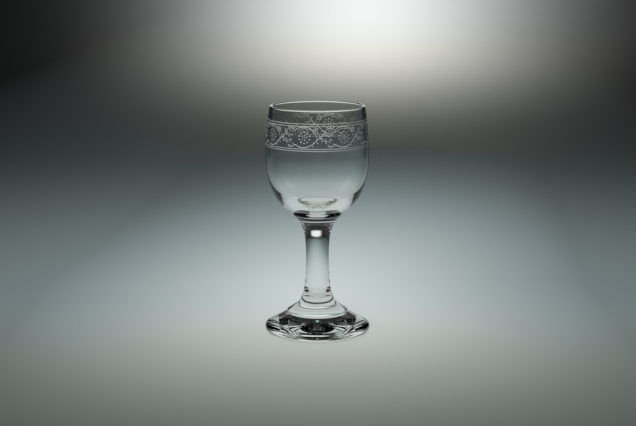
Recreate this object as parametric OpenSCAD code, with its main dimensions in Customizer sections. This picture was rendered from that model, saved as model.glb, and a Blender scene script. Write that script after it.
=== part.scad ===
// Cordial glass: a blown bowl, a solid drawn stem and a pressed foot, fused face to face.
// Every piece is a revolve about the upright axis, and the foot stands on z = 0.

/* [Bowl] */
// Height of the bowl from its seat on the stem to the rim
bowl_h = 46.6; // [42:0.2:52]
// Outside diameter at the rim
rim_d = 41.4; // [38:0.2:44]
// Thickness of the rounded rim
rim_t = 1.4; // [0.8:0.1:2]
// Largest outside diameter
belly_d = 45; // [42:0.2:48]
// Height of the largest diameter above the seat
belly_h = 23.6; // [20:0.2:27]
// Radius of the sweep under the belly
belly_sweep = 37; // [32:1:45]
// Turn of the belly sweep, in degrees, at which the bottom round takes over
belly_turn = 25; // [18:1:32]
// Thickness of the wall at the belly
wall_t = 1.9; // [1.4:0.1:2.4]
// Height of the widest place inside, above the seat
inside_h = 26.4; // [24:0.2:31]
// Thickness of the glass between the inside and the seat
floor_t = 1.6; // [1.2:0.2:5]
// Fullness of the inside bottom, where 2 makes an ellipse
inside_fullness = 2.4; // [2:0.1:3]

/* [Stem] */
// Length of the stem from the foot to the bowl
stem_h = 35.2; // [30:0.2:45]
// Diameter at the waist
waist_d = 10.1; // [8.5:0.1:11]
// Height of the waist above the foot
waist_h = 14.3; // [11:0.1:17]
// Radius of the long sweep through the waist
waist_sweep = 106; // [80:1:150]
// Largest diameter of the flared top
top_d = 21.2; // [20.8:0.1:23]
// Radius of the sweep under the flared top
flare_sweep = 16.1; // [12:0.1:19]
// Radius of the round on the edge of the flared top
top_round = 1.6; // [1:0.1:2]
// Diameter of the fused seat between the stem and the bowl
bowl_seat_d = 17.4; // [15:0.2:18.4]
// Height of the groove round that seat, in the stem and again in the bowl
groove_h = 0.5; // [0.3:0.1:0.8]
// Width of that groove under the bowl
groove_w = 2; // [1:0.1:2.5]

/* [Foot] */
// Height of the foot from the table to the stem
foot_h = 18.2; // [17:0.1:20]
// Diameter of the foot
foot_d = 46.3; // [42:0.1:52]
// Height at which the foot is widest
edge_h = 2.3; // [1.5:0.1:3]
// Radius of the round between the slope and the edge
edge_round = 1.8; // [1:0.1:3]
// Diameter at the base of the boss under the stem
boss_d = 17; // [14.5:0.1:19]
// Height of the base of the boss
boss_h = 12.7; // [11.5:0.1:14]
// Radius of the sweep up the boss
boss_sweep = 30; // [20:1:60]
// Diameter of the shoulder
shoulder_d = 26.6; // [22:0.1:30]
// Height of the shoulder at its rim
shoulder_h = 9.4; // [8.8:0.1:10.5]
// Radius of the round on the rim of the shoulder
shoulder_round = 0.3; // [0.1:0.1:0.5]
// Step from the rim of the shoulder down to the slope
step_h = 0.7; // [0.3:0.1:1]
// Width of the flat ring that the glass rests on
rest_w = 6; // [4:0.2:9]
// Height of the hollow under the foot
hollow_h = 2; // [0.6:0.1:3]

/* [Smoothness] */
// Number of steps in each curve
curve_steps = 20; // [12:1:32]

/* [Hidden] */
$fn = 96;

stem_z = foot_h;
bowl_z = foot_h + stem_h;
bowl_seat_r = bowl_seat_d / 2;
waist_r = waist_d / 2;

// Radius of the seat that the stem and the foot share, where the long sweep ends
foot_seat_r = waist_r + waist_sweep - sqrt(waist_sweep ^ 2 - waist_h ^ 2);

// Step of length one in a direction
function heading(angle) = [cos(angle), sin(angle)];

// Direction from one point to another, from 0 to 360
function bearing(from, to) =
    let (angle = atan2(to[1] - from[1], to[0] - from[0]))
    angle < 0 ? angle + 360 : angle;

// Points along an arc about a centre
function arc(centre, radius, from, to) =
    [for (i = [0:curve_steps]) centre + radius * heading(from + (to - from) * i / curve_steps)];

// Arc from a point to an end where it runs square to the given direction
function arc_into(start, end, end_angle) =
    let (
        chord = start - end,
        inward = -heading(end_angle),
        radius = chord * chord / (2 * chord * inward),
        centre = end + radius * inward
    )
    arc(centre, radius, bearing(centre, start), end_angle);

// Arc of a given radius from one point to another, hollowed on its right
function hollow_arc(from, to, radius) =
    let (centre = meeting(to, radius, from, radius))
    arc(centre, radius, bearing(centre, from), bearing(centre, to));

// Point at given distances from two others, on the left of the line from the first to the second
function meeting(first, first_distance, second, second_distance) =
    let (
        span = norm(second - first),
        turn = acos((first_distance ^ 2 + span ^ 2 - second_distance ^ 2) / (2 * first_distance * span))
    )
    first + first_distance * heading(bearing(first, second) + turn);

// Wall that is upright at its widest and draws in to a narrower end above
function drawn_in(wide_r, wide_z, end_r, end_z) =
    let (
        rise = end_z - wide_z,
        draw = wide_r - end_r,
        radius = (rise ^ 2 + draw ^ 2) / (2 * draw)
    )
    arc([wide_r - radius, wide_z], radius, 0, asin(rise / radius));

// Rounded bottom from its upright side down to its lowest point on the axis
function rounded_bottom(side_r, side_z, lowest_z, fullness) =
    let (steps = 2 * curve_steps)
    [for (i = [0:steps])
        let (turn = 90 * i / steps)
        [
            side_r * pow(cos(turn), 2 / fullness),
            side_z - (side_z - lowest_z) * pow(sin(turn), 2 / fullness)
        ]];

function reversed(points) = [for (i = [len(points) - 1:-1:0]) points[i]];

module bowl() {
    belly_r = belly_d / 2;
    lip_r = rim_t / 2;
    lip_z = bowl_h - lip_r;
    lip_middle = rim_d / 2 - lip_r;
    sweep_centre = [belly_r - belly_sweep, belly_h];
    sweep_turn = 360 - belly_turn;
    sweep_start = sweep_centre + belly_sweep * heading(sweep_turn);
    groove_edge = [bowl_seat_r + groove_w, groove_h];

    seat = [[0, 0], [bowl_seat_r, 0]];
    bottom_round = arc_into(groove_edge, sweep_start, sweep_turn);
    belly = arc(sweep_centre, belly_sweep, sweep_turn, 360);
    outside = drawn_in(belly_r, belly_h, lip_middle + lip_r, lip_z);
    lip = arc([lip_middle, lip_z], lip_r, 0, 180);
    inside = drawn_in(belly_r - wall_t, inside_h, lip_middle - lip_r, lip_z);
    inside_bottom = rounded_bottom(belly_r - wall_t, inside_h, floor_t, inside_fullness);

    color("azure", 0.5)
        translate([0, 0, bowl_z])
            rotate_extrude()
                polygon(concat(seat, bottom_round, belly, outside, lip, reversed(inside), inside_bottom));
}

module stem() {
    sweep_centre = [waist_r + waist_sweep, waist_h];
    edge_centre = [top_d / 2 - top_round, stem_h - groove_h];
    flare_centre = meeting(
        sweep_centre, waist_sweep - flare_sweep,
        edge_centre, flare_sweep + top_round
    );
    sweep_end = bearing(sweep_centre, flare_centre);

    sweep = arc(sweep_centre, waist_sweep, 180 + asin(waist_h / waist_sweep), sweep_end);
    flare = arc(flare_centre, flare_sweep, sweep_end, bearing(flare_centre, edge_centre));
    edge = arc(edge_centre, top_round, bearing(edge_centre, flare_centre), 360);
    seat = [[bowl_seat_r, stem_h], [0, stem_h]];

    color("lightcyan", 0.7)
        translate([0, 0, stem_z])
            rotate_extrude()
                polygon(concat([[0, 0]], sweep, flare, edge, seat));
}

module foot() {
    foot_r = foot_d / 2;
    shoulder_r = shoulder_d / 2;
    boss_base = [boss_d / 2, boss_h];
    rest_r = foot_r - edge_h;
    hollow_r = rest_r - rest_w;
    hollow_round = (hollow_r ^ 2 + hollow_h ^ 2) / (2 * hollow_h);
    edge_centre = [foot_r - edge_round, edge_h];
    slope_top = [shoulder_r, shoulder_h - step_h];
    slope_angle = bearing(slope_top, edge_centre) + asin(edge_round / norm(edge_centre - slope_top));
    rim_centre = [shoulder_r - shoulder_round, shoulder_h];
    shoulder_angle = bearing(boss_base, rim_centre);

    hollow = arc([0, hollow_h - hollow_round], hollow_round, 90, 90 - asin(hollow_r / hollow_round));
    heel = arc([rest_r, edge_h], edge_h, 270, 360);
    edge = arc(edge_centre, edge_round, 0, slope_angle + 90 - 360);
    shoulder_rim = arc(rim_centre, shoulder_round, 0, shoulder_angle + 90 - 360);
    boss = hollow_arc(boss_base, [foot_seat_r, foot_h], boss_sweep);

    color("paleturquoise", 0.8)
        rotate_extrude()
            polygon(concat(hollow, heel, edge, [slope_top], shoulder_rim, boss, [[0, foot_h]]));
}

bowl();
stem();
foot();
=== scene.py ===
# %% [markdown]
# Cordial glass
#
# A small stemmed glass for liqueurs. A glassmaker blows the bowl, draws the stem from solid
# glass, presses the thick foot, and joins the three while they are hot. A needle machine then
# scratches a band of scrolls through wax on the bowl, and acid frosts the scratched lines.
# Clear glass has almost no colour of its own: what is seen in it is bent or mirrored light. So
# the true thickness of each piece and the surroundings matter more here than any paint.
# The frame comes first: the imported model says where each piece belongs.

# %% Load the frame
import math

import bmesh
import bpy
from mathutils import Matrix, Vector


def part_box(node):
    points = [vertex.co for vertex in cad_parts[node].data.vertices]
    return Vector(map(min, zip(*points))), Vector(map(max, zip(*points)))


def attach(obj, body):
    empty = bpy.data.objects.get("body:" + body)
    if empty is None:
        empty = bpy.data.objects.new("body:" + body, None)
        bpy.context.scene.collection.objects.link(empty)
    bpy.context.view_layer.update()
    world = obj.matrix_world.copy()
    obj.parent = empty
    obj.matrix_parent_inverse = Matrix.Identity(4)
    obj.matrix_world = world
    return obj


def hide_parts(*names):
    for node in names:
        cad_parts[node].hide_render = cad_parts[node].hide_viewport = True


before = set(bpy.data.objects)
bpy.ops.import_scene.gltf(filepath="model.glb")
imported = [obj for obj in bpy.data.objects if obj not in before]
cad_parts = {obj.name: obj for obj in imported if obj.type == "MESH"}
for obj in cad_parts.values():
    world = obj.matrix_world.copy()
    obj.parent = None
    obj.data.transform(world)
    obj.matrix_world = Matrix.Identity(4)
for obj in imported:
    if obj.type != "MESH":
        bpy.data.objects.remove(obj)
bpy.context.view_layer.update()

MM = 0.001
BOWL_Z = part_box("bowl")[0][2] / MM
STEM_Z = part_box("stem")[0][2] / MM
RIM_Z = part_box("bowl")[1][2] / MM
print("seats at", round(STEM_Z, 2), "and", round(BOWL_Z, 2), "mm, rim at", round(RIM_Z, 2), "mm")

# %% [markdown]
# Drawing a section
#
# Every piece of a stemmed glass is round, so each one is drawn as half a section, the way a
# mould maker draws it, in millimetres from the axis and from the table. The section is made
# of arcs that run into each other. Long smooth arcs need many points: in clear glass the
# light passes several curved faces, and a coarse curve shows as stripes.

# %% Arcs and their meeting points
POINT_GAP, LONG_GAP, LEAST_STEPS = 0.3, 0.5, 8


def point_at(centre, radius, angle):
    """The point at an angle, in degrees, on a circle."""
    turn = math.radians(angle)
    return (centre[0] + radius * math.cos(turn), centre[1] + radius * math.sin(turn))


def bearing(start, end):
    """The direction from one point to another, from 0 to 360 degrees."""
    return math.degrees(math.atan2(end[1] - start[1], end[0] - start[0])) % 360


def arc(centre, radius, first, last, gap=POINT_GAP):
    """Points along an arc, at most a gap apart."""
    length = radius * math.radians(abs(last - first))
    count = max(LEAST_STEPS, math.ceil(length / gap))
    return [point_at(centre, radius, first + (last - first) * i / count) for i in range(count + 1)]


def meeting(first, first_reach, second, second_reach):
    """Where two reaches meet, on the left of the line from the first point to the second."""
    span = math.dist(first, second)
    turn = math.acos((first_reach**2 + span**2 - second_reach**2) / (2 * first_reach * span))
    return point_at(first, first_reach, bearing(first, second) + math.degrees(turn))


def drawn_in(wide_r, wide_z, end_r, end_z):
    """A wall that is upright where it is widest and draws in to a narrower end above."""
    rise, draw = end_z - wide_z, wide_r - end_r
    radius = (rise**2 + draw**2) / (2 * draw)
    return arc((wide_r - radius, wide_z), radius, 0, math.degrees(math.asin(rise / radius)), LONG_GAP)


print("an arc has a point every", POINT_GAP, "mm, or every", LONG_GAP, "mm on a long sweep")

# %% [markdown]
# Turning a section into glass
#
# On the bench a paddle shapes the glass as it spins. Here one point starts as a plane that is
# merged to its centre. It is extruded from point to point along the section, and the line is
# spun once round the axis. The spin leaves two rows of points where it starts and ends, and
# many on the axis, so doubles are merged before the faces are turned outwards. Open meshes
# would break the refraction, so a print says whether each piece is closed.

# %% Spin a section
ROUND_STEPS = 256
CREASE = math.radians(13)
SAME_PLACE = 1e-4 * MM


def deselect_everything():
    bpy.ops.object.select_all(action="DESELECT")


def open_edges(piece):
    """How many edges of a piece don't have two faces."""
    mesh = bmesh.new()
    mesh.from_mesh(piece.data)
    count = sum(1 for edge in mesh.edges if len(edge.link_faces) != 2)
    mesh.free()
    return count


def spin_section(name, section):
    """A closed round piece from a section given in millimetres."""
    points = [section[0]]
    for point in section[1:]:
        if math.dist(point, points[-1]) * MM > SAME_PLACE:
            points.append(point)
    deselect_everything()
    bpy.ops.mesh.primitive_plane_add(size=MM, enter_editmode=True)
    bpy.ops.mesh.merge(type="CENTER")
    bpy.ops.transform.translate(value=(points[0][0] * MM, 0, points[0][1] * MM))
    for (last_r, last_z), (r, z) in zip(points, points[1:]):
        step = ((r - last_r) * MM, 0, (z - last_z) * MM)
        bpy.ops.mesh.extrude_region_move(TRANSFORM_OT_translate={"value": step})
    bpy.ops.mesh.select_all(action="SELECT")
    bpy.ops.mesh.spin(steps=ROUND_STEPS, angle=math.tau, center=(0, 0, 0), axis=(0, 0, 1))
    bpy.ops.mesh.select_all(action="SELECT")
    bpy.ops.mesh.remove_doubles(threshold=SAME_PLACE)
    bpy.ops.mesh.normals_make_consistent(inside=False)
    bpy.ops.object.mode_set(mode="OBJECT")
    bpy.ops.object.shade_smooth_by_angle(angle=CREASE)
    piece = bpy.context.object
    piece.name = piece.data.name = name
    print(name, len(points), "points,", len(piece.data.polygons), "faces, open edges:", open_edges(piece))
    return piece


# %% [markdown]
# The bowl
#
# The wall is 1.4 mm at the fire-polished rim and grows steadily on its way down, to 1.9 mm at
# the belly and about 3 mm in the lower corner. That growth bends the view through the wall a
# little downwards, which is why the glass looks darker under its rim than the air beside it.
# The outside is three sweeps: the bottom round, the belly and the drawn-in wall above it.

# %% The outside of the bowl
RIM_R, BELLY_R, BELLY_Z = 20.7, 22.5, BOWL_Z + 23.6
BELLY_SWEEP, BELLY_TURN = 37, 25
SEAT_R, GROOVE, GROOVE_W = 8.7, 0.5, 2
LIP_R, LIP_RISE, NECK_R, BEAD_H = 0.7, 0.3, 0.66, 0.25

lip_z, lip_middle = RIM_Z - LIP_RISE, RIM_R - LIP_R
sweep_centre = (BELLY_R - BELLY_SWEEP, BELLY_Z)
sweep_start = point_at(sweep_centre, BELLY_SWEEP, -BELLY_TURN)
groove_edge = (SEAT_R + GROOVE_W, BOWL_Z + GROOVE)

# The bottom round passes the groove's edge and runs on into the belly without a corner
inward = point_at((0, 0), -1, -BELLY_TURN)
chord = (groove_edge[0] - sweep_start[0], groove_edge[1] - sweep_start[1])
bottom_r = (chord[0]**2 + chord[1]**2) / (2 * (chord[0] * inward[0] + chord[1] * inward[1]))
bottom_centre = (sweep_start[0] + bottom_r * inward[0], sweep_start[1] + bottom_r * inward[1])

bowl_outside = (
    arc(bottom_centre, bottom_r, bearing(bottom_centre, groove_edge) - 360, -BELLY_TURN)
    + arc(sweep_centre, BELLY_SWEEP, -BELLY_TURN, 0, LONG_GAP)
    + drawn_in(BELLY_R, BELLY_Z, lip_middle + NECK_R, lip_z - BEAD_H)
)
print("the bottom round has a radius of", round(bottom_r, 2), "mm")

# %% [markdown]
# The rim and the inside of the bowl
#
# Fire-polishing melts the rim into a low, rounded bead, a little thicker than the wall under
# it. The bead is a tiny lens that shows the pale screen as a thin white line.
# The inside is drawn as a superellipse, which is fuller than an ellipse at its corners.

# %% The rim, the inside, and the whole bowl
BEAD_STEPS, LIP_TURN = 10, 9
WALL, INSIDE_Z, FLOOR_Z = 1.9, BOWL_Z + 26.4, BOWL_Z + 1.6
FULLNESS, INSIDE_STEPS = 2.4, 80

bead = []
for i in range(1, BEAD_STEPS):
    swell = NECK_R + (LIP_R - NECK_R) * (1 - math.cos(math.pi * i / BEAD_STEPS)) / 2
    bead.append((swell, lip_z - BEAD_H * (1 - i / BEAD_STEPS)))
lip = []
for angle in range(0, 180 + LIP_TURN, LIP_TURN):
    out, up = point_at((0, 0), 1, angle)
    lip.append((lip_middle + LIP_R * out, lip_z + LIP_RISE * up))
bowl_inside = []
for i in range(INSIDE_STEPS):
    turn = math.radians(90 * i / INSIDE_STEPS)
    bowl_inside.append((
        (BELLY_R - WALL) * math.cos(turn) ** (2 / FULLNESS),
        INSIDE_Z - (INSIDE_Z - FLOOR_Z) * math.sin(turn) ** (2 / FULLNESS),
    ))
bowl_section = (
    [(0, BOWL_Z), (SEAT_R, BOWL_Z)]
    + bowl_outside
    + [(lip_middle + swell, z) for swell, z in bead]
    + lip
    + [(lip_middle - swell, z) for swell, z in bead[::-1]]
    + drawn_in(BELLY_R - WALL, INSIDE_Z, lip_middle - NECK_R, lip_z - BEAD_H)[::-1]
    + bowl_inside
    + [(0, FLOOR_Z)]
)
bowl = spin_section("bowl_glass", bowl_section)

# %% [markdown]
# The stem
#
# The stem is one trumpet curve: a very long sweep through the waist that tightens into the
# flare under the bowl, and ends in a small rounded edge. Two circles touch where their
# centres and the touching point lie in line, so the place of the flare's circle is found from
# its distances to the other two.

# %% Draw and spin the stem
WAIST_R, WAIST_Z, WAIST_SWEEP = 5.05, STEM_Z + 14.3, 106
TOP_R, TOP_ROUND, FLARE_SWEEP = 10.6, 1.6, 16.1
EDGE_GAP = 0.15

waist_centre = (WAIST_R + WAIST_SWEEP, WAIST_Z)
edge_centre = (TOP_R - TOP_ROUND, BOWL_Z - GROOVE)
flare_centre = meeting(waist_centre, WAIST_SWEEP - FLARE_SWEEP, edge_centre, FLARE_SWEEP + TOP_ROUND)
sweep_end = bearing(waist_centre, flare_centre)
foot_seat_angle = 180 + math.degrees(math.asin((WAIST_Z - STEM_Z) / WAIST_SWEEP))
foot_seat_r = point_at(waist_centre, WAIST_SWEEP, foot_seat_angle)[0]

stem_section = (
    [(0, STEM_Z)]
    + arc(waist_centre, WAIST_SWEEP, foot_seat_angle, sweep_end, LONG_GAP)
    + arc(flare_centre, FLARE_SWEEP, sweep_end, bearing(flare_centre, edge_centre))
    + arc(edge_centre, TOP_ROUND, bearing(edge_centre, flare_centre), 360, EDGE_GAP)
    + [(SEAT_R, BOWL_Z), (0, BOWL_Z)]
)
stem = spin_section("stem_glass", stem_section)

# %% [markdown]
# The foot
#
# The foot is pressed in a mould, so it has a step round its shoulder and a small boss that
# takes the stem. It stands on a flat ring, and the shallow hollow inside the ring keeps it
# from rocking. That hollow works as a lens and lights the shoulder from below. Its radius is
# 0.01 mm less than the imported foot's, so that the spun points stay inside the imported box.

# %% Draw and spin the foot
FOOT_R, EDGE_Z, EDGE_ROUND = 23.14, 2.3, 1.8
BOSS_R, BOSS_Z, BOSS_SWEEP = 8.5, 12.7, 30
SHOULDER_R, SHOULDER_Z, SHOULDER_ROUND, STEP_H = 13.3, 9.4, 0.3, 0.7
REST_W, HOLLOW_H = 6, 2
HEEL_GAP, CORNER_GAP = 0.2, 0.05

rest_r = FOOT_R - EDGE_Z
hollow_r = rest_r - REST_W
hollow_round = (hollow_r**2 + HOLLOW_H**2) / (2 * HOLLOW_H)
hollow_turn = math.degrees(math.asin(hollow_r / hollow_round))
slope_edge = (FOOT_R - EDGE_ROUND, EDGE_Z)
slope_top = (SHOULDER_R, SHOULDER_Z - STEP_H)
slope_angle = bearing(slope_top, slope_edge) - 360
slope_angle += math.degrees(math.asin(EDGE_ROUND / math.dist(slope_edge, slope_top)))
shoulder_rim = (SHOULDER_R - SHOULDER_ROUND, SHOULDER_Z)
boss_base, boss_top = (BOSS_R, BOSS_Z), (foot_seat_r, STEM_Z)
shoulder_angle = bearing(boss_base, shoulder_rim) - 360
boss_centre = meeting(boss_top, BOSS_SWEEP, boss_base, BOSS_SWEEP)

foot_section = (
    arc((0, HOLLOW_H - hollow_round), hollow_round, 90, 90 - hollow_turn, LONG_GAP)
    + arc((rest_r, EDGE_Z), EDGE_Z, -90, 0, HEEL_GAP)
    + arc(slope_edge, EDGE_ROUND, 0, slope_angle + 90, EDGE_GAP)
    + [slope_top]
    + arc(shoulder_rim, SHOULDER_ROUND, 0, shoulder_angle + 90, CORNER_GAP)
    + arc(boss_centre, BOSS_SWEEP, bearing(boss_centre, boss_base), bearing(boss_centre, boss_top))
    + [(0, STEM_Z)]
)
foot = spin_section("foot_glass", foot_section)

# %% [markdown]
# The etched lines
#
# Acid leaves no relief that a finger would notice, but it turns the polished wall matt. Such
# lines can be painted with a mask in the material, or laid on the wall as very thin pieces.
# Thin pieces stay sharp at any distance and keep their shape in an exported model, so each
# line here is a ribbon a few hundredths of a millimetre thick that follows the wall.
# A Shrinkwrap modifier lays a flat piece on the wall, and a Solidify modifier then gives it
# its thickness.

# %% Lay a flat piece on the wall
LIFT, FILM = 0.015 * MM, 0.02 * MM


def pick(*pieces):
    """Selects these pieces alone and makes the first one active."""
    deselect_everything()
    for piece in pieces:
        piece.select_set(True)
    bpy.context.view_layer.objects.active = pieces[0]


def settle():
    """Writes the place and turn of the selected pieces into their meshes."""
    bpy.ops.object.transform_apply(location=True, rotation=True, scale=True)


def apply_all(piece):
    """Applies every modifier of a piece, in order."""
    bpy.context.view_layer.objects.active = piece
    for name in [modifier.name for modifier in piece.modifiers]:
        bpy.ops.object.modifier_apply(modifier=name)


def lay_on_wall(piece):
    """Fits a thin open piece to the outside of the bowl and gives it its thickness."""
    wrap = piece.modifiers.new("lay", "SHRINKWRAP")
    wrap.target = bowl
    wrap.wrap_method = "NEAREST_SURFACEPOINT"
    wrap.wrap_mode = "ABOVE_SURFACE"
    wrap.offset = LIFT
    film = piece.modifiers.new("film", "SOLIDIFY")
    film.thickness = FILM
    film.offset = 1
    apply_all(piece)


print("a film is", FILM / MM, "mm thick and starts", LIFT / MM, "mm off the wall")

# %% [markdown]
# The plain lines
#
# Four plain lines frame the band of scrolls, two above it and two below. The needle stands
# still and the glass turns under it. A spin would make such a line too, but a circle that is
# extruded upwards to a narrow band needs only its height and its width.

# %% The plain lines round the bowl
BAND_R, BAND_STEPS = 22.0, 192
LINES = [
    # height of the middle and width, in millimetres
    (94.55, 0.34), (93.55, 0.30), (84.0, 0.32), (83.15, 0.30),
]

rings = []
for height, width in LINES:
    deselect_everything()
    base = (0, 0, (height - width / 2) * MM)
    bpy.ops.mesh.primitive_circle_add(
        vertices=BAND_STEPS, radius=BAND_R * MM, location=base, enter_editmode=True
    )
    bpy.ops.mesh.extrude_region_move(TRANSFORM_OT_translate={"value": (0, 0, width * MM)})
    bpy.ops.mesh.select_all(action="SELECT")
    bpy.ops.mesh.normals_make_consistent(inside=False)
    bpy.ops.object.mode_set(mode="OBJECT")
    rings.append(bpy.context.object)
pick(*rings)
bpy.ops.object.join()
etched_lines = bpy.context.object
etched_lines.name = etched_lines.data.name = "etched_lines"
settle()
lay_on_wall(etched_lines)
print("plain lines:", len(LINES), "bands,", len(etched_lines.data.polygons), "faces")

# %% [markdown]
# The scrolls
#
# The machine repeats one drawing eight times round the bowl: a vine that sweeps under a
# rosette of dots, climbs to the right and arches over the next rosette, with leaves on both
# sides. The drawing is made flat, in millimetres from the middle of its rosette. Its lines are
# curves swept with a short straight line, the nib, which gives flat ribbons that thin out at
# their ends like needle strokes.

# %% Draw the vine and its side shoots
STROKES = [
    # width in millimetres, then the points that the needle follows
    (0.36, [(-6.3, -3.5), (-5.7, -3.95), (-5.0, -3.5), (-4.3, -3.0), (-3.2, -3.4),
            (-1.9, -3.95), (0, -4.15), (1.8, -3.8), (3.3, -2.9), (4.8, -1.6),
            (6.3, -0.3), (7.6, 0.9), (8.6, 2.3), (9.4, 3.3)]),
    (0.34, [(9.4, 3.3), (10.6, 3.9), (12.2, 3.6), (13.3, 3.0)]),
    (0.36, [(-4.2, 2.4), (-3.5, 3.5), (-2.3, 4.2), (-0.9, 4.45), (0.9, 4.4), (2.4, 3.9),
            (3.6, 2.9), (4.2, 1.7)]),
    (0.22, [(-2.9, 2.9), (-1.7, 3.5), (0, 3.75), (1.7, 3.4), (2.8, 2.6)]),
    (0.24, [(-6.3, -3.5), (-6.9, -3.1), (-7.3, -3.5), (-6.9, -3.95), (-6.2, -3.8)]),
    (0.24, [(5.2, -1.3), (5.4, -0.3), (5.1, 0.7), (4.6, 1.2)]),
    (0.24, [(6.3, -0.3), (7.3, -0.6), (8.4, -1.3), (9.5, -1.5), (10.6, -1.1)]),
    (0.24, [(7.9, 1.2), (8.9, 1.0), (10.0, 1.1), (11.0, 0.8)]),
    (0.22, [(4.6, 1.2), (4.9, 2.4), (4.8, 3.6), (4.75, 4.5)]),
]
NIB_HALF, THIN_END, CURVE_STEPS = 0.5 * MM, 0.55, 4

deselect_everything()
bpy.ops.curve.primitive_bezier_curve_add()
drawing = bpy.context.object
nib_curve = bpy.data.curves.new("nib", "CURVE")
nib_curve.dimensions = "2D"
nib_line = nib_curve.splines.new("POLY")
nib_line.points.add(1)
nib_line.points[0].co = (-NIB_HALF, 0, 0, 1)
nib_line.points[1].co = (NIB_HALF, 0, 0, 1)
nib = bpy.data.objects.new("nib", nib_curve)
bpy.context.collection.objects.link(nib)

drawing.data.splines.clear()
drawing.data.dimensions = "2D"
drawing.data.resolution_u = CURVE_STEPS
drawing.data.bevel_mode = "OBJECT"
drawing.data.bevel_object = nib
for width, points in STROKES:
    spline = drawing.data.splines.new("BEZIER")
    spline.bezier_points.add(len(points) - 1)
    for knot, (u, v) in zip(spline.bezier_points, points):
        knot.co = (u * MM, v * MM, 0)
        knot.handle_left_type = knot.handle_right_type = "AUTO"
        knot.radius = width
    for end in (0, -1):
        spline.bezier_points[end].radius = width * THIN_END
bpy.ops.object.convert(target="MESH")
bpy.data.objects.remove(nib)
print("strokes:", len(STROKES), "with", len(drawing.data.polygons), "faces")

# %% [markdown]
# Dots and leaves
#
# A rosette is two rings of dots round a middle one, and leaves stand on both sides of the
# vine. They could be short strokes too, but a filled circle gives a round dot at once. It
# has few corners, because no leaf is longer than 1.5 mm. A leaf starts as a disc of 1 mm,
# and is stretched to its size, pinched towards both of its ends, and turned.

# %% Add the dots and the leaves
DISC_CORNERS, LEAF_START_R, LEAF_PINCH = 10, 0.5, 3


def ring_of_dots(reach, first, apart, radius):
    """Dots on a circle. The first one and the turn between them are in degrees."""
    return [(*point_at((0, 0), reach, angle), radius) for angle in range(first, 360, apart)]


def add_disc(place, radius):
    """A filled circle in the drawing, left selected."""
    bpy.ops.mesh.primitive_circle_add(
        vertices=DISC_CORNERS, radius=radius * MM, fill_type="TRIFAN", location=place
    )


DOTS = ring_of_dots(2.35, 18, 36, 0.34) + ring_of_dots(1.05, 0, 72, 0.27)
DOTS += [(0, 0, 0.3), (-3.6, 4.75, 0.24), (-4.4, 4.3, 0.2), (-4.6, 3.5, 0.18), (-5.6, -1.3, 0.22)]
LEAVES = [
    # middle, length, width, turn in degrees
    (7.4, -0.1, 1.1, 0.5, 35), (7.5, -1.5, 1.1, 0.5, -50), (8.9, -0.7, 1.1, 0.5, 40),
    (9.2, -2.2, 1.1, 0.5, -60), (11.1, -0.8, 1.2, 0.55, 20), (10.7, -1.9, 1.0, 0.45, -40),
    (9.2, 1.7, 1.0, 0.45, 35), (10.4, 0.4, 1.0, 0.45, -30), (11.6, 1.0, 1.2, 0.5, 15),
    (4.1, 3.3, 1.5, 0.55, 118), (5.5, 3.3, 1.5, 0.55, 62), (4.75, 4.1, 1.2, 0.5, 90),
    (4.0, 2.2, 1.2, 0.45, 150), (5.6, 2.1, 1.2, 0.45, 30), (10.0, 4.4, 1.1, 0.45, 40),
    (11.3, 4.4, 1.1, 0.45, 15), (12.6, 4.2, 1.1, 0.45, -10), (10.7, 2.9, 1.1, 0.45, -35),
    (12.0, 2.7, 1.1, 0.45, -50), (8.2, 3.0, 1.1, 0.45, 125), (6.3, 0.8, 1.1, 0.4, 100),
    (3.7, -3.6, 1.0, 0.4, -20), (5.6, -2.2, 1.0, 0.4, -15), (-5.0, -2.6, 0.9, 0.4, 60),
]

pick(drawing)
bpy.ops.object.mode_set(mode="EDIT")
for u, v, radius in DOTS:
    add_disc((u * MM, v * MM, 0), radius)
for u, v, length, width, turn in LEAVES:
    place = (u * MM, v * MM, 0)
    add_disc(place, LEAF_START_R)
    bpy.ops.transform.resize(value=(length, width, 1), center_override=place)
    leaf = bmesh.from_edit_mesh(drawing.data)
    for vertex in leaf.verts:
        if vertex.select:
            along = (vertex.co.x - place[0]) / (length * MM / 2)
            vertex.co.y = place[1] + (vertex.co.y - place[1]) * (1 - abs(along) ** LEAF_PINCH)
    bpy.ops.transform.rotate(value=-math.radians(turn), orient_axis="Z", center_override=place)
bpy.ops.mesh.select_all(action="SELECT")
bpy.ops.mesh.normals_make_consistent(inside=False)
bpy.ops.object.mode_set(mode="OBJECT")
print("drawing:", len(DOTS), "dots and", len(LEAVES), "leaves")

# %% [markdown]
# Rolling the drawing round the bowl
#
# The flat drawing is stood up and bent to the bowl's curve with a Simple Deform modifier. The
# bend angle is the drawing's width over the radius, so that every line keeps its length. Eight
# copies, each with its own mesh, are turned into place and joined, and then the same two
# modifiers as before lay them on the wall, which leans in by a few degrees here.

# %% Bend, copy and lay the scrolls
ROSETTE_Z = 88.8
REPEATS, FIRST_TURN = 8, -14.5

pick(drawing)
drawing.location = (0, 0, ROSETTE_Z * MM)
drawing.rotation_euler = (math.radians(90), 0, 0)
settle()
bend = drawing.modifiers.new("bend", "SIMPLE_DEFORM")
bend.deform_method = "BEND"
bend.deform_axis = "Z"
bend.angle = drawing.dimensions.x / (BAND_R * MM)
apply_all(drawing)
front = min(vertex.co.y for vertex in drawing.data.vertices)
print("bent drawing: front at", round(front / MM, 3), "mm")
drawing.location.y = -BAND_R * MM
settle()

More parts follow.
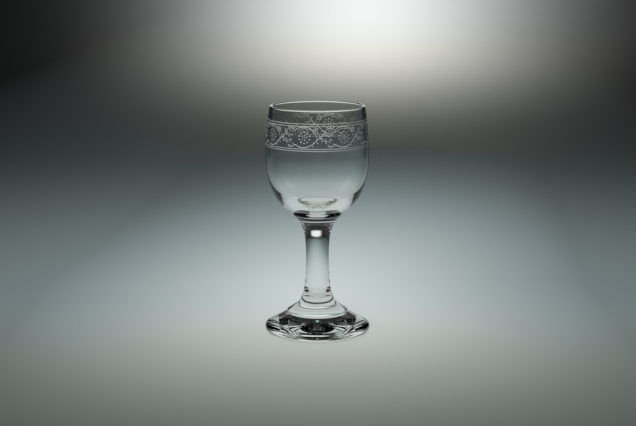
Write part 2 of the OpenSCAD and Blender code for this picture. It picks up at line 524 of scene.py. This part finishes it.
copies = []
for i in range(REPEATS):
    copy = drawing.copy()
    copy.data = drawing.data.copy()
    copy.rotation_euler.z = math.radians(FIRST_TURN + i * 360 / REPEATS)
    bpy.context.collection.objects.link(copy)
    copies.append(copy)
bpy.data.objects.remove(drawing)
pick(*copies)
settle()
bpy.ops.object.join()
etched_scrolls = bpy.context.object
etched_scrolls.name = etched_scrolls.data.name = "etched_scrolls"
lay_on_wall(etched_scrolls)
print("scrolls:", REPEATS, "repeats,", len(etched_scrolls.data.polygons), "faces")

# %% [markdown]
# Wiring materials
#
# A material is a tree of nodes. It could be wired by hand in the Shader Editor. A few helpers
# do the same here in fewer words: one adds a node and feeds its inputs, with a link where it
# gets another node's output and a plain value otherwise. A socket knows its own tree, so the
# helpers that start from a socket find the tree through it. Colours are written as they look
# on a screen, and turned into linear light, which is what the nodes expect.

# %% Screen colours as linear light
def lin(level):
    """One channel of a screen colour, 0 to 255, as linear light."""
    c = level / 255
    return c / 12.92 if c <= 0.04045 else ((c + 0.055) / 1.055) ** 2.4


def shade(red, green, blue):
    """A screen colour as a node's colour value."""
    return (lin(red), lin(green), lin(blue), 1)


print("half of full light is screen level", next(level for level in range(256) if lin(level) >= 0.5))


# %% Nodes and their inputs
def feed(node, inputs):
    """Links each named or numbered input to a socket, or sets it to a plain value."""
    for name, value in inputs.items():
        if isinstance(value, bpy.types.NodeSocket):
            node.id_data.links.new(value, node.inputs[name])
        else:
            node.inputs[name].default_value = value


def add_node(tree, kind, inputs=None, **settings):
    """A new shader node with its settings made and its inputs fed."""
    node = tree.nodes.new("ShaderNode" + kind)
    for name, value in settings.items():
        setattr(node, name, value)
    feed(node, inputs or {})
    return node


def tree_of(*values):
    """The tree of the first socket among some values."""
    return next(value.id_data for value in values if isinstance(value, bpy.types.NodeSocket))


print("inputs are named as in Blender", bpy.app.version_string)


# %% Sums, mixes and ramps
def maths(operation, *values):
    """A Math node. Each value is a plain number or a socket, and at least one is a socket."""
    node = add_node(tree_of(*values), "Math", dict(enumerate(values)), operation=operation)
    return node.outputs["Value"]


def between(value, low, high, first=0, last=1):
    """A node that goes from first to last as a value goes from low to high."""
    inputs = {"Value": value, "From Min": low, "From Max": high, "To Min": first, "To Max": last}
    return add_node(tree_of(value), "MapRange", inputs).outputs["Result"]


def mixed(kind, share, first, second):
    """Two colours mixed. The share is how much of the second one comes in."""
    inputs = {"Fac": share, "Color1": first, "Color2": second}
    return add_node(tree_of(share), "MixRGB", inputs, blend_type=kind).outputs["Color"]


def colours(value, stops):
    """A colour ramp for a value from 0 to 1, from stops of position and screen colour."""
    node = add_node(tree_of(value), "ValToRGB", {"Fac": value})
    elements = node.color_ramp.elements
    elements.remove(elements[1])
    for i, (position, colour) in enumerate(stops):
        element = elements[0] if i == 0 else elements.new(position)
        element.position = position
        element.color = shade(*colour)
    return node.outputs["Color"]


# %% Groups and materials
def new_group(name, takes, gives):
    """A node group with number inputs and named outputs, and its two end nodes."""
    group = bpy.data.node_groups.new(name, "ShaderNodeTree")
    for label, value in takes.items():
        socket = group.interface.new_socket(name=label, in_out="INPUT", socket_type="NodeSocketFloat")
        socket.default_value = value
    for label, kind in gives.items():
        group.interface.new_socket(name=label, in_out="OUTPUT", socket_type="NodeSocket" + kind)
    return group, group.nodes.new("NodeGroupInput"), group.nodes.new("NodeGroupOutput")


def new_material(name):
    """A new material and its Principled shader."""
    material = bpy.data.materials.new(name)
    material.use_nodes = True
    return material, material.node_tree.nodes["Principled BSDF"]


def place_group(tree, group, inputs):
    """A node group placed in a material, with its inputs fed."""
    node = tree.nodes.new("ShaderNodeGroup")
    node.node_tree = group
    feed(node, inputs)
    return node


print("materials so far:", len(bpy.data.materials), "and node groups:", len(bpy.data.node_groups))

# %% [markdown]
# The unevenness of glass
#
# Clear glass is one smooth transmitting shader. The real surface is never quite even: it was
# fire-polished, so it has faint waves and a few smudges. A node group makes both from
# noise, and each piece sets its own amounts: the blown bowl is the smoothest, and the pressed
# foot keeps chill marks from its mould.

# %% A node group for the unevenness
WAVE_DETAIL, SMUDGE_DETAIL = 1.0, 3.0
SMUDGED = (0.58, 0.8)
TINTS = (0.975, 0.99, 0.985, 1), (0.99, 0.995, 0.99, 1)

unevenness, group_in, group_out = new_group(
    "glass_unevenness",
    {"Wave Size": 60.0, "Smudge Size": 90.0, "Smudge Strength": 0.02},
    {"Height": "Float", "Roughness": "Float", "Tint": "Color"},
)
coords = add_node(unevenness, "TexCoord").outputs["Object"]
wave_size, smudge_size = group_in.outputs["Wave Size"], group_in.outputs["Smudge Size"]
waves = add_node(unevenness, "TexNoise", {"Vector": coords, "Scale": wave_size, "Detail": WAVE_DETAIL})
smudges = add_node(
    unevenness, "TexNoise", {"Vector": coords, "Scale": smudge_size, "Detail": SMUDGE_DETAIL}
)
feed(group_out, {
    "Height": waves.outputs["Fac"],
    "Roughness": between(smudges.outputs["Fac"], *SMUDGED, 0, group_in.outputs["Smudge Strength"]),
    "Tint": mixed("MIX", waves.outputs["Fac"], *TINTS),
})
print("node group:", unevenness.name, "with", len(unevenness.nodes), "nodes")

# %% [markdown]
# Clear glass and the fused seats
#
# Each piece gets its own clear glass, with its own waves. Where two pieces are fused there is
# no surface at all, so the faces of each seat get a fully clear material and the light passes
# unbent.

# %% Clear glass, and the fused seats
GLASS_IOR = 1.5
SMUDGE_STRENGTH = 0.02
SEAT_REACH, LEVEL = 0.01, 0.99
GLASS = [
    # piece, wave size, wave height in millimetres, heights of its seats
    (bowl, 45, 0.03, [BOWL_Z]),
    (stem, 70, 0.03, [STEM_Z, BOWL_Z]),
    (foot, 90, 0.12, [STEM_Z]),
]


def clear_glass(name, wave_size, wave_height):
    material, glass = new_material(name)
    tree = material.node_tree
    amounts = {"Wave Size": wave_size, "Smudge Strength": SMUDGE_STRENGTH}
    uneven = place_group(tree, unevenness, amounts).outputs
    bump = add_node(tree, "Bump", {"Distance": wave_height * MM, "Height": uneven["Height"]})
    feed(glass, {
        "IOR": GLASS_IOR,
        "Transmission Weight": 1,
        "Roughness": uneven["Roughness"],
        "Base Color": uneven["Tint"],
        "Normal": bump.outputs["Normal"],
    })
    return material


seat_clear, seat_shader = new_material("fused_seat")
feed(seat_shader, {"Alpha": 0})

for piece, size, height, seats in GLASS:
    piece.data.materials.append(clear_glass("clear_" + piece.name, size, height))
    piece.data.materials.append(seat_clear)
    fused = 0
    for face in piece.data.polygons:
        at_seat = any(abs(face.center.z / MM - seat) < SEAT_REACH for seat in seats)
        if at_seat and abs(face.normal.z) > LEVEL:
            face.material_index = 1
            fused += 1
    print(piece.name, "has", fused, "faces in its seats")

# %% [markdown]
# Frosted lines
#
# Acid-etched glass scatters light. On the near wall it is lit from the front, so it looks matt
# and nearly white. On the far wall it is seen through the glass, and it shows a blurred share
# of the light behind it. So the outer and the inner faces of each film get their own material
# and their own clearness. A fine grain changes the colour, the cover and the relief of both,
# so it is a node group. A face that is met from its back is left out, because light should
# meet one frosted face in each film.

# %% The frosted materials
FROST_ROUGHNESS = 0.45
GRAIN_SIZE, GRAIN_DETAIL, GRAIN_HEIGHT = 2500, 2, 0.01
GRAIN_RANGE = (0.3, 0.7)
FROST_SHADES = (222, 227, 225), (250, 252, 251)
OUTER_CLEARNESS, OUTER_COVER = 0.45, (0.5, 0.85)
INNER_CLEARNESS, INNER_COVER = 1.0, (0.7, 0.95)

frost_grain, group_in, group_out = new_group(
    "frost_grain",
    {"Least Cover": OUTER_COVER[0], "Most Cover": OUTER_COVER[1]},
    {"Colour": "Color", "Cover": "Float", "Height": "Float"},
)
coords = add_node(frost_grain, "TexCoord").outputs["Object"]
inputs = {"Vector": coords, "Scale": GRAIN_SIZE, "Detail": GRAIN_DETAIL}
grain = add_node(frost_grain, "TexNoise", inputs).outputs["Fac"]
covers = group_in.outputs["Least Cover"], group_in.outputs["Most Cover"]
feed(group_out, {
    "Colour": colours(grain, list(enumerate(FROST_SHADES))),
    "Cover": between(grain, *GRAIN_RANGE, *covers),
    "Height": grain,
})


def frosted(name, clearness, cover_range):
    material, matt = new_material(name)
    tree = material.node_tree
    amounts = dict(zip(("Least Cover", "Most Cover"), cover_range))
    etched = place_group(tree, frost_grain, amounts).outputs
    relief = add_node(tree, "Bump", {"Distance": GRAIN_HEIGHT * MM, "Height": etched["Height"]})
    from_front = maths("SUBTRACT", 1, add_node(tree, "NewGeometry").outputs["Backfacing"])
    feed(matt, {
        "Roughness": FROST_ROUGHNESS,
        "Transmission Weight": clearness,
        "Base Color": etched["Colour"],
        "Alpha": maths("MULTIPLY", etched["Cover"], from_front),
        "Normal": relief.outputs["Normal"],
    })
    return material


frost_outer = frosted("etched_frost", OUTER_CLEARNESS, OUTER_COVER)
frost_inner = frosted("etched_frost_inner", INNER_CLEARNESS, INNER_COVER)
for piece in (etched_lines, etched_scrolls):
    piece.data.materials.append(frost_outer)
    piece.data.materials.append(frost_inner)
    inner = 0
    for face in piece.data.polygons:
        if face.normal.x * face.center.x + face.normal.y * face.center.y < 0:
            face.material_index = 1
            inner += 1
    print(piece.name, "has", inner, "inner faces of", len(piece.data.polygons))
print("materials:", [material.name for material in bpy.data.materials if material.users])

# %% [markdown]
# Ride and what each piece stands for
#
# Nothing moves on this glass, so all pieces ride on its one body. The three spun pieces stand
# for the three CAD nodes, and the etched pieces are new.

# %% Tell the frame about the pieces
for piece, node in ((bowl, "bowl"), (stem, "stem"), (foot, "foot")):
    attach(piece, "root")
    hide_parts(node)
for piece in (etched_lines, etched_scrolls):
    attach(piece, "root")
print("pieces:", [piece.name for piece in (bowl, stem, foot, etched_lines, etched_scrolls)])

# %% [markdown]
# The table
#
# Glass shows its surroundings turned over, so the ground gives the stem its grey top, the bowl
# its dark waist and both their dark edges. It is one flat disc, just under the plane that the
# foot stands on, and its colour depends on its own place, which the material reads from
# Object coordinates.

# %% A bare table
TABLE_R, TABLE_CORNERS, TABLE_DROP = 10, 128, 0.00002

deselect_everything()
bpy.ops.mesh.primitive_circle_add(vertices=TABLE_CORNERS, radius=TABLE_R, fill_type="NGON")
table = bpy.context.object
table.name = table.data.name = "table_top"
settle()
table.location.z = -TABLE_DROP
ground = bpy.data.materials.new("table_ground")
ground.use_nodes = True
tree = ground.node_tree
tree.nodes.clear()
table.data.materials.append(ground)
coords = add_node(tree, "TexCoord").outputs["Object"]
place = add_node(tree, "SeparateXYZ", {"Vector": coords}).outputs
print("table:", 2 * TABLE_R, "m across")

# %% [markdown]
# The pool of light
#
# The ground is pale under the glass and falls to dark grey all round. A ramp along each axis
# would give straight edges. Here one share fades like a bell with the distance from a place
# just behind the glass, and the distance counts for more to the sides and in front. The
# middle of the pool drifts to the right farther back. To the sides the distance stops growing
# at a limit, and the ground darkens on to the colour of the studio instead. In front the
# light is a little warmer. Three colours make the pool: dark, middle and pale.

# %% The pool of light
POOL_X, POOL_BACK, POOL_FRONT = 0.0045, 0.05, 0.035
DRIFT, DRIFT_FROM = 0.11, 0.09
LEFT_REACH, RIGHT_REACH, FRONT_REACH = 2.2, 2.35, 2.1
SIDE_LIMIT = 0.31
FADE_REACH, FADE_POWER = 0.25, 1.63
DARK, MIDDLE, PALE, MIDDLE_SHARE = (55, 61, 61), (134, 147, 149), (209, 218, 218), 0.33
LIT_WIDTH, FAR_SIDES = (0.13, 0.42), (18, 20, 20)
FRONT_TINT, FRONT_FADE = (1.07, 1.0, 0.905, 1), (0.05, -0.05)

behind = maths("SUBTRACT", place["Y"], POOL_BACK)
in_front = maths("MULTIPLY", maths("SUBTRACT", POOL_FRONT, place["Y"]), FRONT_REACH)
along = maths("MAXIMUM", behind, in_front)
drift = maths("MULTIPLY", maths("MAXIMUM", maths("SUBTRACT", place["Y"], DRIFT_FROM), 0), DRIFT)
side = maths("SUBTRACT", place["X"], maths("ADD", drift, POOL_X))
across = maths("MAXIMUM", maths("MULTIPLY", side, RIGHT_REACH), maths("MULTIPLY", side, -LEFT_REACH))
across = maths("MINIMUM", across, SIDE_LIMIT)
reach = maths("SQRT", maths("ADD", maths("MULTIPLY", along, along), maths("MULTIPLY", across, across)))

fading = maths("POWER", maths("DIVIDE", reach, FADE_REACH), FADE_POWER)
pool_share = maths("EXPONENT", maths("MULTIPLY", fading, -1))
pool = colours(pool_share, [(0, DARK), (MIDDLE_SHARE, MIDDLE), (1, PALE)])
far_share = between(maths("ABSOLUTE", place["X"]), *LIT_WIDTH)
pool = mixed("MIX", far_share, pool, shade(*FAR_SIDES))
pool = mixed("MULTIPLY", between(place["Y"], *FRONT_FADE), pool, FRONT_TINT)
print("the pool's share falls to", round(100 * math.exp(-1)), "percent at a reach of", FADE_REACH, "m")

# %% [markdown]
# The far glow
#
# Far behind the glass, a little to the right, the ground rises to nearly white. The glow
# spreads as a narrow fan from a fixed point on the table in front of the glass. Across the
# fan it is a power of the cosine, and along the fan it rises in an S-curve that passes its
# half at one distance. Where it is lighter than the pool it covers the pool.

# %% The far glow
GLOW_FROM, GLOW_TURN, GLOW_NARROWNESS = (0, -0.58, 0), 1.9, 178
GLOW_HALF, GLOW_RISE, NEAREST = 1.2, 4.77, 0.01
GLOW_NEAR, GLOW_WARM, GLOW_FAR, WARM_SHARE = (62, 65, 58), (233, 233, 225), (241, 246, 245), 0.9

fan_turn = math.radians(GLOW_TURN)
fan_axis = (math.sin(fan_turn), math.cos(fan_turn), 0)
away = add_node(tree, "VectorMath", {0: coords, 1: GLOW_FROM}, operation="SUBTRACT")
heading = add_node(tree, "VectorMath", {0: away.outputs["Vector"]}, operation="NORMALIZE")
fan = add_node(tree, "VectorMath", {0: heading.outputs["Vector"], 1: fan_axis}, operation="DOT_PRODUCT")
fan_share = maths("POWER", maths("MAXIMUM", fan.outputs["Value"], 0), GLOW_NARROWNESS)

distance = maths("MAXIMUM", place["Y"], NEAREST)
rising = maths("POWER", maths("DIVIDE", GLOW_HALF, distance), GLOW_RISE)
glow_share = maths("DIVIDE", 1, maths("ADD", rising, 1))
glow = colours(glow_share, [(0, GLOW_NEAR), (WARM_SHARE, GLOW_WARM), (1, GLOW_FAR)])
ground_colour = mixed("LIGHTEN", fan_share, pool, glow)
print("the glow passes its half at", GLOW_HALF, "m behind the glass")

# %% [markdown]
# How the table is lit and seen
#
# A matt ground alone would take its brightness from the lamps. So the camera, mirrors and
# glass see mostly its plain colour, and a small share of the lit, matt ground stays in the
# mix near the glass, which keeps a trace of the shadow. Other rays meet only the matt ground.

# %% The table's shader
PLAIN_SHARE, ALL_PLAIN = 0.8, (0.5, 0.9)

matt_ground = add_node(tree, "BsdfDiffuse", {"Color": ground_colour})
plain_ground = add_node(tree, "Emission", {"Color": ground_colour})
rays = add_node(tree, "LightPath").outputs
seen = maths("MAXIMUM", rays["Is Camera Ray"], rays["Is Glossy Ray"])
seen = maths("MAXIMUM", seen, rays["Is Transmission Ray"])
plain = maths("MULTIPLY", seen, between(place["Y"], *ALL_PLAIN, PLAIN_SHARE, 1))
both = add_node(
    tree, "MixShader", {0: plain, 1: matt_ground.outputs["BSDF"], 2: plain_ground.outputs["Emission"]}
)
add_node(tree, "OutputMaterial", {"Surface": both.outputs["Shader"]})
print("table material:", len(tree.nodes), "nodes")

# %% [markdown]
# The studio
#
# The air above the table is a dark studio, which draws the black outlines of the glass. Behind
# it, above the far glow, stands one pale screen. It is out of the picture, but the top of the
# stem turns it over into a small bright window. Two more screens at the sides light the slope
# of the foot from within, and a small one high up puts the glint in the middle of the foot.
# All are colours of the world, by direction, and cast no shadows.

# %% The studio around it
STUDIO = (18, 20, 20)
SCREENS = [
    # turn, half width, soft side, then the lowest and highest edge and their softness, in degrees
    (4, 9, 9, -30, 10, 5, (242, 246, 243)),
    (67, 8, 6, 20, 42, 4, (226, 233, 231)),
    (-67, 8, 6, 20, 42, 4, (226, 233, 231)),
    (0, 1, 3, 49, 54, 4, (165, 192, 192)),
]


def height_of(angle):
    """How high a direction of length one reaches, from its angle above the ground."""
    return math.sin(math.radians(angle))


studio = bpy.data.worlds.new("studio")
bpy.context.scene.world = studio
studio.use_nodes = True
tree = studio.node_tree
tree.nodes.clear()
coords = add_node(tree, "TexCoord").outputs["Generated"]
direction = add_node(tree, "SeparateXYZ", {"Vector": coords}).outputs
turn = maths("ARCTAN2", direction["X"], direction["Y"])
around = shade(*STUDIO)
for screen_turn, half, soft, lowest, highest, fade, colour in SCREENS:
    from_middle = maths("ABSOLUTE", maths("SUBTRACT", turn, math.radians(screen_turn)))
    wide = between(from_middle, math.radians(half + soft), math.radians(half))
    under = between(direction["Z"], height_of(highest + fade), height_of(highest))
    over = between(direction["Z"], height_of(lowest - fade), height_of(lowest))
    inside = maths("MULTIPLY", wide, maths("MULTIPLY", under, over))
    around = mixed("MIX", inside, around, shade(*colour))
air = add_node(tree, "Background", {"Color": around})
add_node(tree, "OutputWorld", {"Surface": air.outputs["Background"]})
print("studio:", len(SCREENS), "screens, at", [screen[0] for screen in SCREENS], "degrees")

# %% [markdown]
# The lamps
#
# A photographer would light the frost from the front and from above with soft boxes. Two area
# lamps do so here. They are hidden from the camera, from mirrors and from glass, because the
# screens alone should show in the glass.

# %% Two soft lamps
LAMP_AIM = Vector((0, 0, 0.06))
LAMPS = [
    # name, place and width in metres, watts
    ("lamp_above", (0, -0.1, 1.3), 0.7, 8),
    ("lamp_front", (-0.5, -1.5, 0.5), 0.8, 24),
]

for name, stand, width, watts in LAMPS:
    bpy.ops.object.light_add(type="AREA", location=stand)
    lamp = bpy.context.object
    lamp.name = name
    lamp.data.size = width
    lamp.data.energy = watts
    lamp.rotation_euler = (LAMP_AIM - Vector(stand)).to_track_quat("-Z", "Y").to_euler()
    lamp.visible_camera = lamp.visible_glossy = lamp.visible_transmission = False
    print(name, "at", stand, "with", watts, "W")

# %% [markdown]
# The camera
#
# The photograph looks down on the glass by about eleven degrees, from little more than half
# a metre. These values were fitted to the ellipses of the rim, the etched lines and the foot.

# %% Set the camera
FRAME_W, FOCAL_PIXELS, SENSOR = 636, 1360, 36
CAMERA_PLACE, CAMERA_TILT = (0.00026, -0.58415, 0.16425), 10.8
CLOSEST, FARTHEST = 0.01, 50

upright = math.radians(90 - CAMERA_TILT)
bpy.ops.object.camera_add(location=CAMERA_PLACE, rotation=(upright, 0, 0))
camera = bpy.context.object
camera.name = "camera"
camera.data.sensor_width = SENSOR
camera.data.lens = FOCAL_PIXELS / FRAME_W * SENSOR
camera.data.clip_start = CLOSEST
camera.data.clip_end = FARTHEST
bpy.context.scene.camera = camera
bpy.context.scene.view_settings.view_transform = "Standard"
print("lens", round(camera.data.lens, 2), "mm")
